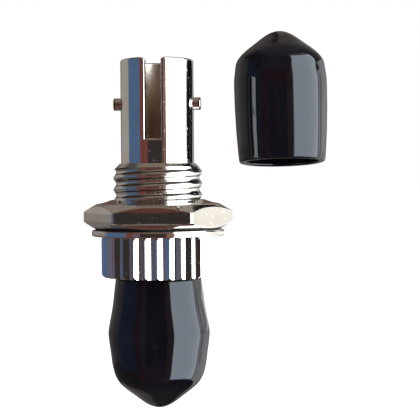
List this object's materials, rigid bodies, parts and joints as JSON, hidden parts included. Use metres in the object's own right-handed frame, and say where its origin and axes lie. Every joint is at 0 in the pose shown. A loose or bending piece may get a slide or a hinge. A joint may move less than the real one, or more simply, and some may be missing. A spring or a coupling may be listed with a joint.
{
  "type": "simplex fibre adapter",
  "caption": "Bayonet fibre adapter of bright nickel-plated metal with a threaded panel neck, hexagon nut, washer, knurled grip collar, a soft cap on its rear port and a second cap taken off.",
  "frame": {"origin": "middle of the alignment sleeve, on its axis, where the two ferrules meet", "axes": "+Z along the axis to the bare front port, both keyways face -Y, the bayonet lugs point along X"},
  "size_m": [0.0235, 0.0174, 0.0368],
  "materials": {
    "nickel_plate": "bright nickel plate over turned brass",
    "black_vinyl": "glossy dipped soft vinyl",
    "sleeve_bronze": "smooth drawn spring bronze"
  },
  "bodies": {
    "adapter": {"front_housing": "nickel_plate", "rear_housing": "nickel_plate", "front_left_lug": "nickel_plate", "front_right_lug": "nickel_plate", "rear_left_lug": "nickel_plate", "rear_right_lug": "nickel_plate", "front_sleeve_holder": "nickel_plate", "rear_sleeve_holder": "nickel_plate", "alignment_sleeve": "sleeve_bronze", "front_dust_cap": "black_vinyl"},
    "washer": {"panel_washer": "nickel_plate"},
    "nut": {"panel_nut": "nickel_plate"},
    "rear_cap": {"rear_dust_cap": "black_vinyl"}
  },
  "joints": [
    {"name": "nut_turn", "type": "hinge", "parent": "adapter", "child": "washer", "pos_m": [0, 0, 0], "axis": [0, 0, 1], "range_deg": [0, 1081]},
    {"name": "nut_lift", "type": "slide", "parent": "washer", "child": "nut", "axis": [0, 0, 1], "range_m": [0, 0.0033]},
    {"name": "rear_cap_pull", "type": "slide", "parent": "adapter", "child": "rear_cap", "axis": [0, 0, -1], "range_m": [0, 0.012], "deforming": ["rear_dust_cap"]}
  ],
  "couplings": [
    {"joint": "nut_turn", "follows": "nut_lift", "rad_per_m": 5712}
  ]
}
